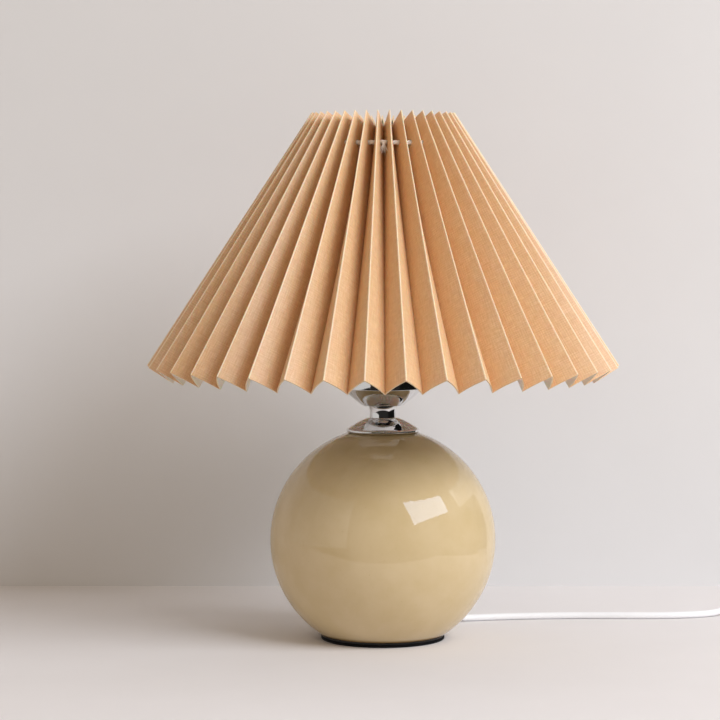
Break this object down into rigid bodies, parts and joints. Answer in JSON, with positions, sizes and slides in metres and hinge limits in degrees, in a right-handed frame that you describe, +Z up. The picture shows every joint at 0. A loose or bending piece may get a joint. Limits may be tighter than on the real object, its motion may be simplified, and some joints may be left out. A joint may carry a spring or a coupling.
{
  "type": "table lamp",
  "caption": "Ceramic ball table lamp with a chrome stem and lampholder, a pleated shade on a wire frame, a removable bulb, and a cord with switch and plug.",
  "frame": {"origin": "centre of the foot, on the surface the lamp stands on", "axes": "+Z up along the lamp's axis; -Y is the front; the cord leaves at the back towards +X"},
  "size_m": [0.599, 0.3313, 0.3483],
  "materials": {
    "pad": "matt foam",
    "cover": "matt moulded",
    "glaze": "high gloss glaze",
    "cord_plastic": "smooth extruded",
    "gasket": "matt",
    "zinc_steel": "zinc plated",
    "chrome": "polished chrome plate",
    "porcelain": "white glaze",
    "brass": "bare",
    "nickel": "nickel plated",
    "wire_sheath": "extruded",
    "shade_paper": "linen-textured laminate",
    "gather_fibre": "soft twisted cord",
    "white_wire": "white powder coat",
    "bulb_black": "moulded",
    "bulb_white": "moulded",
    "bulb_opal": "opal diffuser",
    "switch_plastic": "moulded"
  },
  "bodies": {
    "base": {"foot_pad": "pad", "base_cover": "cover", "ceramic_globe": "glaze", "cord_grommet": "cord_plastic", "crown_gasket": "gasket", "clamp_washer": "zinc_steel", "lock_washer": "zinc_steel", "clamp_nut": "zinc_steel", "threaded_rod": "zinc_steel", "flange": "chrome", "neck": "chrome", "cup": "chrome", "holder_cap": "chrome", "holder_lock_screw": "zinc_steel", "holder_shell": "chrome", "holder_insert": "porcelain", "terminal_screws": "brass", "contact_sleeve": "nickel", "centre_contact": "brass", "lead_wires": "wire_sheath", "inner_cord": "cord_plastic", "lower_shade_ring": "chrome", "cord_lead": "cord_plastic", "switch_base": "switch_plastic", "switch_cover": "switch_plastic", "rocker_pin": "zinc_steel", "switch_contacts": "bulb_black", "switch_screws": "zinc_steel", "switch_sleeve_in": "switch_plastic", "switch_sleeve_out": "switch_plastic", "cord_link": "cord_plastic", "cord_coil": "cord_plastic", "cord_tail": "cord_plastic", "plug_body": "switch_plastic", "plug_pins": "nickel"},
    "shade": {"pleated_shade": "shade_paper", "gather_cord": "gather_fibre", "shade_fitter": "white_wire", "spider_arms": "white_wire", "lower_frame_ring": "white_wire", "frame_legs": "white_wire", "top_frame_ring": "white_wire"},
    "shade_ring": {"upper_shade_ring": "chrome"},
    "bulb": {"bulb_contact": "nickel", "bulb_insulator": "bulb_black", "bulb_cap": "nickel", "bulb_housing": "bulb_white", "bulb_globe": "bulb_opal"},
    "switch_rocker": {"switch_rocker": "switch_plastic"}
  },
  "joints": [
    {"name": "shade_turn", "type": "hinge", "parent": "base", "child": "shade", "pos_m": [0, 0, 0.1917], "axis": [0, 0, 1], "continuous": true},
    {"name": "shade_ring_turn", "type": "hinge", "parent": "base", "child": "shade_ring", "pos_m": [0, 0, 0.1952], "axis": [0, 0, 1], "continuous": true},
    {"name": "bulb_lift", "type": "slide", "parent": "base", "child": "bulb", "axis": [0, 0, 1], "range_m": [0, 0.17]},
    {"name": "rocker_tilt", "type": "hinge", "parent": "base", "child": "switch_rocker", "pos_m": [0.315, 0.093, 0.0158], "axis": [0, 1, 0], "range_deg": [0, 18]}
  ]
}
